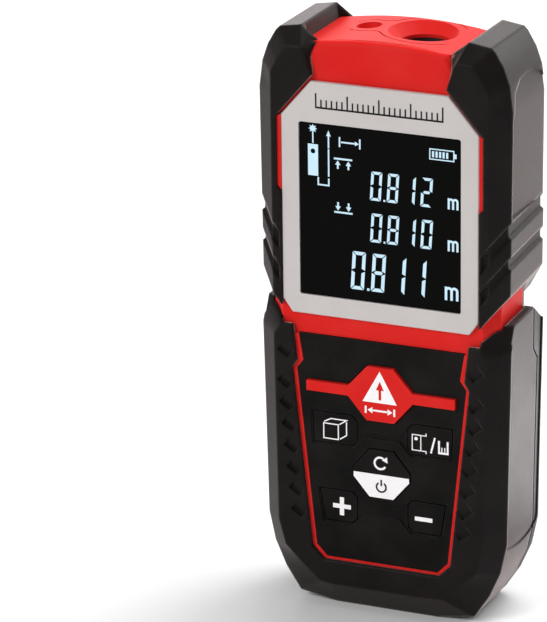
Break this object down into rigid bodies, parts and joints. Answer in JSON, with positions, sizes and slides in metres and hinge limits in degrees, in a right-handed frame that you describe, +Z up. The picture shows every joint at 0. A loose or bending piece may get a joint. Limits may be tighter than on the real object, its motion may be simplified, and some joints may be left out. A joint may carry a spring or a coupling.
{
  "type": "laser distance meter",
  "caption": "Hand-held laser distance meter: red housing with grooved rubber bumpers and grip boot, lit display, six keys, two end apertures and a battery door.",
  "frame": {"origin": "middle of the bounding box's bottom face, where the meter stands on its bottom end", "axes": "+X to the meter's right as its display is read, +Y from its front to its back, +Z up to the aperture end"},
  "size_m": [0.0522, 0.0234, 0.118],
  "materials": {
    "red_plastic": "fine moulded satin",
    "black_rubber": "matte overmould",
    "black_plastic": "spark-eroded texture",
    "bezel_plastic": "satin light grey",
    "window_plastic": "polished black",
    "lcd_glass": "polished",
    "diffuser_plastic": "milky",
    "keypad_rubber": "satin silicone",
    "white_print": "printed",
    "display_segment": "lit",
    "spring_steel": "nickel plated",
    "circuit_board": "solder mask",
    "zinc_screw": "zinc plated",
    "dark_screw": "blackened",
    "chip_plastic": "moulded",
    "bench_plastic": "moulded",
    "lens_glass": "coated",
    "soft_rubber": "matte",
    "diode_metal": "gold plated",
    "laser_brass": "turned",
    "cell_wrap": "shrink sleeve"
  },
  "bodies": {
    "housing": {"front_shell": "red_plastic", "nose_cap": "red_plastic", "bumper_left": "black_rubber", "bumper_right": "black_rubber", "grip_boot": "black_rubber", "rear_shell": "black_plastic", "display_bezel": "bezel_plastic", "display_window": "window_plastic", "lcd_panel": "lcd_glass", "lcd_backlight": "diffuser_plastic", "lcd_connector": "soft_rubber", "keypad_panel": "keypad_rubber", "dome_switches": "spring_steel", "main_board": "circuit_board", "detector_board": "circuit_board", "board_screws": "zinc_screw", "bench_screws": "zinc_screw", "housing_screws": "dark_screw", "processor": "chip_plastic", "board_parts": "chip_plastic", "buzzer": "chip_plastic", "optics_bench": "bench_plastic", "receiver_tube": "bench_plastic", "lens_ring": "bench_plastic", "receiver_lens": "lens_glass", "collimating_lens": "lens_glass", "emitter_window": "lens_glass", "lens_gasket": "soft_rubber", "detector_diode": "diode_metal", "laser_diode": "diode_metal", "shield_can": "spring_steel", "laser_barrel": "laser_brass", "battery_left": "cell_wrap", "battery_right": "cell_wrap", "contact_springs": "spring_steel", "contact_bridge": "spring_steel", "contact_terminals": "spring_steel"},
    "measure_key": {"measure_key": "red_plastic"},
    "clear_key": {"clear_key": "keypad_rubber"},
    "reference_key": {"reference_key": "keypad_rubber"},
    "function_key": {"function_key": "keypad_rubber"},
    "minus_key": {"minus_key": "keypad_rubber"},
    "plus_key": {"plus_key": "keypad_rubber"},
    "battery_door": {"battery_door": "black_plastic"}
  },
  "joints": [
    {"name": "measure_key_press", "type": "slide", "parent": "housing", "child": "measure_key", "axis": [0, 1, 0], "range_m": [0, 0.0006], "stiffness_N_per_m": 3000, "springref_m": -0.0003},
    {"name": "clear_key_press", "type": "slide", "parent": "housing", "child": "clear_key", "axis": [0, 1, 0], "range_m": [0, 0.0006], "stiffness_N_per_m": 3000, "springref_m": -0.0003},
    {"name": "reference_key_press", "type": "slide", "parent": "housing", "child": "reference_key", "axis": [0, 1, 0], "range_m": [0, 0.0006], "stiffness_N_per_m": 3000, "springref_m": -0.0003},
    {"name": "function_key_press", "type": "slide", "parent": "housing", "child": "function_key", "axis": [0, 1, 0], "range_m": [0, 0.0006], "stiffness_N_per_m": 3000, "springref_m": -0.0003},
    {"name": "minus_key_press", "type": "slide", "parent": "housing", "child": "minus_key", "axis": [0, 1, 0], "range_m": [0, 0.0006], "stiffness_N_per_m": 3000, "springref_m": -0.0003},
    {"name": "plus_key_press", "type": "slide", "parent": "housing", "child": "plus_key", "axis": [0, 1, 0], "range_m": [0, 0.0006], "stiffness_N_per_m": 3000, "springref_m": -0.0003},
    {"name": "battery_door_hinge", "type": "hinge", "parent": "housing", "child": "battery_door", "pos_m": [0, 0.0117, 0.008], "axis": [-1, 0, 0], "range_deg": [0, 70]}
  ]
}
